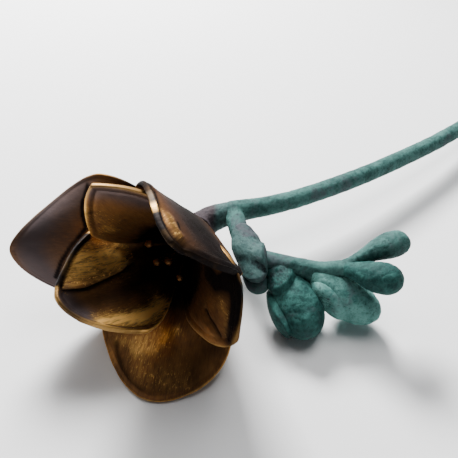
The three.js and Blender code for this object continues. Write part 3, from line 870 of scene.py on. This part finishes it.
def creases(form, reach):
    """How deep in a crease each point lies, from how its neighbours stand above its own plane."""
    form.normal_update()
    depth = np.array([
        sum(p.normal.dot(e.other_vert(p).co - p.co) for e in p.link_edges) / max(len(p.link_edges), 1)
        for p in form.verts])
    return np.clip(depth / (reach * MM), 0, 1)


def cast_rough(form, name, node, material, lumps, pits, reach):
    """Makes a piece of the bmesh, with a rough skin that stores its creases for painted shade."""
    roughen(form, lumps, pits)
    depth = creases(form, reach)
    piece = add_piece(form, name, node, material)
    store(piece, "crease_shade", depth)
    return piece


print("lumps and pits, in mm:", [round(1 / n / MM, 1) for n in (LUMPS_PER_METRE, PITS_PER_METRE)])

# %% [markdown]
# ## Stem and spike
# The stem is one long rod that sinks towards the table, and the spike is a shorter one that leaves it
# at a thick fork and bends towards the viewer. A knob and four short limbs carry the buds. All of them
# are fused into one skin, so the fork looks poured and not stuck on.

# %% Stem and spike
STEM_RADIUS, SPIKE_RADIUS, FORK_RADIUS = 2.8, 2.6, 3.35
FORK = (1.1, -8.4, 14.5)
stem_line = [
    FORK, (15.2, -3.8, 14), (29, 3.2, 13.4), (42, 11.2, 12.6), (59.6, 23.6, 11.4),
    (72.9, 33.7, 10.4), (85.2, 44.1, 9.4), (110, 66, 7.2), (135, 87, 5), (160, 106, 2.7)]
spike_line = [
    FORK, (2.2, -13.5, 14.5), (3.7, -20, 14.1), (6.2, -25, 13.7), (12.3, -27.4, 13.9),
    (18, -28.8, 14), (23.4, -30.1, 14.3), (28.5, -30.6, 15.3)]
knob_line = [(4.6, -21.5, 14), (6, -26.5, 12.9), (7.4, -31.4, 11.2)]
# The limbs that carry the buds, each with its radius, its number of rings and its line
short_limbs = {
    "first_root": (2.5, 12, [(7, -25.4, 13.6), (11, -27, 12.6), (14.2, -29, 10.6)]),
    "second_root": (2.3, 12, [(14.5, -28, 13.6), (18.6, -29.4, 13.2), (23, -31.2, 12)]),
    "third_stalk": (1.7, 10, [(25, -30.2, 14.6), (28, -30.8, 15.3), (30.6, -31.9, 15.9)]),
    "fourth_stalk": (1.5, 12, [(25, -30.2, 14.6), (29.2, -30.1, 16), (33.6, -28.8, 18.1)]),
}
print("stem:", len(stem_line), "stops, from", stem_line[0], "to", stem_line[-1])


# %% How thick the limbs are
def stem_radius(t):
    """Millimetres, half a millimetre more at the fork, where t is 0."""
    return STEM_RADIUS + 0.5 * math.exp(-t / 0.03)


def spike_radius(t):
    """Millimetres, a little more at the fork and less past the middle."""
    return SPIKE_RADIUS + 0.3 * math.exp(-t / 0.1) - 0.6 * min(max((t - 0.5) / 0.3, 0), 1)


def knob_radius(t):
    return 2.5 - 0.6 * t


for radius_at in (stem_radius, spike_radius, knob_radius):
    print(radius_at.__name__, [round(radius_at(t), 2) for t in (0, 0.5, 1)])

# %% Making the stem and spike
rods = bmesh.new()
sweep(rods, stem_line, stem_radius, rings=90, sides=24)
sweep(rods, spike_line, spike_radius, rings=48, sides=24)
sweep(rods, knob_line, knob_radius, rings=14, sides=20)
for radius, rings, line in short_limbs.values():
    sweep(rods, line, lambda t: radius, rings, sides=20)
bmesh.ops.create_uvsphere(
    rods, u_segments=20, v_segments=14, radius=FORK_RADIUS * MM,
    matrix=Matrix.Translation(in_frame([FORK])[0]))
stem_form = fuse(rods, "stem_rods", voxel=0.4, rounds=4)
cast_stem = cast_rough(
    stem_form, "cast_stem", "stem", stem_patina, lumps=0.10, pits=0.10, reach=0.09)
print("stem of", len(cast_stem.data.vertices), "points")

# %% [markdown]
# ## Buds
# A bud is an egg on a stalk: it starts as thin as its stalk, is fullest halfway or later and ends
# blunt. It is swept like the stem, with its rings bunched towards the tip so that the end stays round.
# A short root of its own reaches back into the spike, so that no gap shows where the bud leaves it.

# %% Buds
BUD_ROUNDING = 2.2
ROOT_LENGTH = 2.2

buds = {
    "bud_1": dict(
        line=[(13.6, -28.3, 10.8), (17.9, -36.7, 6.1), (19.5, -44.2, 5.4)],
        base=3.2, radius=6.25, fullest=0.5, ease=1.1, material=deep_patina),
    "bud_2": dict(
        line=[(22.4, -30.9, 12.4), (30.9, -34.2, 7), (37.7, -38.7, 6.1)],
        base=3, radius=5.5, fullest=0.5, ease=1.1, material=mint_patina),
    "bud_3": dict(
        line=[(29.2, -31.2, 15.6), (35.4, -34.8, 16.7), (41.4, -37.2, 17.5)],
        base=1.9, radius=3.95, fullest=0.64, ease=1.5, material=deep_patina),
    "bud_4": dict(
        line=[(32, -29.3, 17.3), (38.4, -28.2, 20.3), (44, -28, 22.5)],
        base=1.6, radius=3.35, fullest=0.68, ease=1.5, material=stem_patina),
}
print("buds", [2 * bud["radius"] for bud in buds.values()], "mm thick")


# %% Making the buds
def bud_girth(bud, t):
    """The bud's radius in millimetres, from its stalk at 0 to its tip at 1."""
    return float(swell(
        np.array(t), bud["base"], bud["radius"], bud["fullest"], bud["ease"], BUD_ROUNDING))


def make_bud(name):
    bud = buds[name]
    rods = bmesh.new()
    base, second = np.array(bud["line"][0]), np.array(bud["line"][1])
    root = base - ROOT_LENGTH * (second - base) / np.linalg.norm(second - base)
    sweep(rods, [tuple(root), tuple(base)], lambda t: bud["base"] * (0.6 + 0.38 * t), rings=6, sides=32)
    sweep(rods, bud["line"], lambda t: bud_girth(bud, t), rings=40, sides=40, spacing=1.7)
    form = fuse(rods, name + "_rod", voxel=0.3, rounds=3)
    return cast_rough(
        form, "cast_" + name, name, bud["material"], lumps=0.16, pits=0.10, reach=0.06)


cast_buds = [make_bud(name) for name in buds]
print(len(cast_buds), "buds")

# %% [markdown]
# ## Flower tube
# The tube is the dark neck between the fork and the bloom. It widens towards the petals, and it
# starts inside the fork so that no gap shows. Hardly any verdigris grows on it, so a number on its
# points, which grows towards the bloom, lays the metal bare.

# %% Flower tube
tube_end = BLOOM_BASE - 0.7 * axis
tube_line = [
    (0.6, -8.5, 14.2), (-1.9, -8.6, 13.4), (-5.4, -8.9, 11.9), (-7.9, -10.6, 11.1),
    tuple(tube_end - 1.2 * axis), tuple(tube_end)]
# The verdigris thins out from this X towards the bloom, and is gone so many millimetres further
BARE_FROM, BARE_OVER = -1.5, 4


def tube_radius(t):
    return 3.4 + 1.6 * t ** 1.5


rods = bmesh.new()
sweep(rods, tube_line, tube_radius, rings=24, sides=28)
tube_form = fuse(rods, "tube_rod", voxel=0.35, rounds=3)
cast_tube = cast_rough(
    tube_form, "cast_tube", "flower_tube", slate_patina, lumps=0.14, pits=0.12, reach=0.08)
past_the_fork = [BARE_FROM - (p.co.x / MM - DRAWING_SHIFT.x) for p in cast_tube.data.vertices]
bare_metal = np.clip(np.array(past_the_fork) / BARE_OVER, 0, 1)
store(cast_tube, "bare", bare_metal)
print("tube: bare over", round(float(bare_metal.mean()), 2), "of its points")

# %% [markdown]
# ## Stamens and style
# In the dark throat only bead tips catch the light. Each is a small ball on a thin rod that springs
# from a short plug at the bottom of the bloom. They are placed by the bloom's own axes: along it, up
# and sideways.

# %% Stamens and style
FILAMENT_RADIUS, BEAD_RADIUS = 0.5, 0.95
# Where each bead is, in millimetres along the bloom, up and sideways
beads = [(24, 7.3, -3.1), (24, 3, -1), (24.5, 4.2, 2.1), (23, -0.4, 4.5)]


def in_bloom(along, up, across):
    """A place in the bloom, as a point on the drawing."""
    return tuple(BLOOM_BASE + axis * along + top * up + side * across)


def plug_radius(t):
    return 1.7 - 0.5 * t


rods = bmesh.new()
plug_line = [in_bloom(along, 0, 0) for along in (-0.3, 1.2, 3)]
sweep(rods, plug_line, plug_radius, rings=6, sides=20)
for along, up, across in beads:
    stops = [in_bloom(1, 0, 0), in_bloom(along * 0.45, up * 0.3, across * 0.3), in_bloom(along, up, across)]
    sweep(rods, stops, lambda t: FILAMENT_RADIUS, rings=24, sides=12)
    bmesh.ops.create_icosphere(
        rods, subdivisions=3, radius=BEAD_RADIUS * MM, matrix=Matrix.Translation(in_frame(stops)[-1]))
bmesh.ops.recalc_face_normals(rods, faces=rods.faces)
soften(rods, 0.1)
stamens = add_piece(rods, "cast_stamens", "stamens_and_style", petal_bronze)
# The bronze reads the distance to a rim, and a stamen has none, so all of it is far from one
FAR_FROM_RIM = 5.0
store(stamens, "margin", np.full(len(stamens.data.vertices), FAR_FROM_RIM))
print(len(beads), "stamens and styles")

# %% [markdown]
# ## Bracts
# A freesia's buds sit in small scale leaves. On the casting they are lumps that melt into the spike
# and the buds. Each is an egg, and every point of it that would stand off the limb is pulled back
# onto the limb's skin, so that a thin scale is left that follows the limb.
#
# on names the limbs that carry the bract, thickness is how far it may stand out of them, and size is
# from its centre to its ends, in millimetres. heading and rise turn it, in degrees.

# %% Bract sizes
bracts = {
    "bract_1": dict(
        on=["spike", "knob"], thickness=1.4, centre=(5.2, -25.4, 15.6), size=(8.6, 4.4, 3.6),
        heading=286, rise=-18, material=slate_patina),
    "bract_2": dict(
        on=["bud_1"], thickness=1.1, centre=(12.4, -30, 12.6), size=(7.4, 4.2, 4),
        heading=298, rise=-34, material=deep_patina),
    "bract_3": dict(
        on=["knob"], thickness=1.2, centre=(6.2, -29.4, 9.8), size=(5.6, 4.2, 3),
        heading=288, rise=-18, material=slate_patina),
    "bract_4": dict(
        on=["bud_1"], thickness=1.0, centre=(12.4, -37.4, 5.6), size=(7, 3.4, 3.6),
        heading=283, rise=-12, material=deep_patina),
    "bract_5": dict(
        on=["bud_2"], thickness=0.9, centre=(25.4, -35.6, 9), size=(6.4, 3, 3.2),
        heading=325, rise=-35, material=mint_patina),
}
carriers = {"spike": (spike_line, spike_radius), "knob": (knob_line, knob_radius)}
for name, bud in buds.items():
    carriers[name] = (bud["line"], lambda t, bud=bud: bud_girth(bud, t))
print(len(bracts), "bracts on", len(carriers), "limbs")


# %% Making the bracts
LIMB_STEPS = 60
SKIN_GAP = 0.3


def hug(point, bract):
    """The point, pulled back onto the nearest limb's skin plus the bract's thickness."""
    best = None
    for name in bract["on"]:
        stops, radius_at = carriers[name]
        t, line, _ = smooth_line(stops, LIMB_STEPS)
        k = int(np.argmin(((line - point) ** 2).sum(1)))
        away = point - line[k]
        far = float(np.linalg.norm(away))
        skin = radius_at(t[k]) + bract["thickness"] + SKIN_GAP
        if far <= skin:
            return point
        pulled = line[k] + away * skin / far
        if best is None or far - skin < best[0]:
            best = (far - skin, pulled)
    return best[1]


def make_bract(name):
    bract = bracts[name]
    form = bmesh.new()
    heading = Matrix.Rotation(math.radians(bract["heading"]), 4, "Z")
    rise = Matrix.Rotation(-math.radians(bract["rise"]), 4, "Y")
    egg = heading @ rise @ Matrix.Diagonal((*bract["size"], 1))
    bmesh.ops.create_icosphere(form, subdivisions=5, radius=1, matrix=egg)
    for p in form.verts:
        p.co = in_frame([hug(np.array(p.co) + np.array(bract["centre"]), bract)])[0]
    return cast_rough(
        form, "cast_" + name, name, bract["material"], lumps=0.14, pits=0.08, reach=0.08)


cast_bracts = [make_bract(name) for name in bracts]
print(len(cast_bracts), "bracts made, the first with", len(cast_bracts[0].data.vertices), "points")

# %% [markdown]
# ## Table
# The flower lies on plain white paper. One flat square is enough, far wider than the picture, so that
# its edge never shows.

# %% Table
PAPER = rgb(0.80, 0.80, 0.80)
HALF_TABLE = 3

table_form = bmesh.new()
bmesh.ops.create_grid(table_form, x_segments=1, y_segments=1, size=HALF_TABLE)
table_mesh = bpy.data.meshes.new("table")
table_form.to_mesh(table_mesh)
table_form.free()
table = bpy.data.objects.new("table", table_mesh)
bpy.context.scene.collection.objects.link(table)
paper, _, paper_shader = new_material("paper")
paper_shader.inputs["Base Color"].default_value = PAPER
paper_shader.inputs["Roughness"].default_value = 0.9
table_mesh.materials.append(paper)
print("table:", 2 * HALF_TABLE, "m wide")

# %% [markdown]
# ## Light
# The picture has soft daylight. The main window is behind the flower and a little to the left, and
# draws the soft shadows towards the viewer. A weaker window at the left and a pale ceiling fill them,
# and so does a faint blue-white world. Area lights are used because a window's size is what makes a
# shadow soft.

# %% Light
DAYLIGHT, DAYLIGHT_STRENGTH = rgb(0.86, 0.9, 1.0), 0.12
LIT_PLACE = Vector((-0.05, -0.04, 0.01))


def window(name, towards, distance, width, height, watts):
    """A window at a distance in metres, in a direction from the flower, that faces the flower."""
    light = bpy.data.lights.new(name, "AREA")
    light.shape = "RECTANGLE"
    light.size, light.size_y = width, height
    light.energy = watts
    away = Vector(towards).normalized()
    pane = bpy.data.objects.new(name, light)
    pane.location = LIT_PLACE + away * distance
    pane.rotation_euler = (-away).to_track_quat("-Z", "Y").to_euler()
    bpy.context.scene.collection.objects.link(pane)


window("back_window", (-0.4, 1.15, 1), distance=0.60, width=0.22, height=0.15, watts=15)
window("left_window", (-0.7, 0.3, 1), distance=0.45, width=0.26, height=0.20, watts=0.5)
window("ceiling", (0.18, 0.20, 1), distance=0.40, width=0.20, height=0.20, watts=1.15)

world = bpy.data.worlds.new("room")
world.use_nodes = True
background = world.node_tree.nodes["Background"]
background.inputs["Color"].default_value = DAYLIGHT
background.inputs["Strength"].default_value = DAYLIGHT_STRENGTH
bpy.context.scene.world = world
print("lights:", [thing.name for thing in bpy.data.lights])
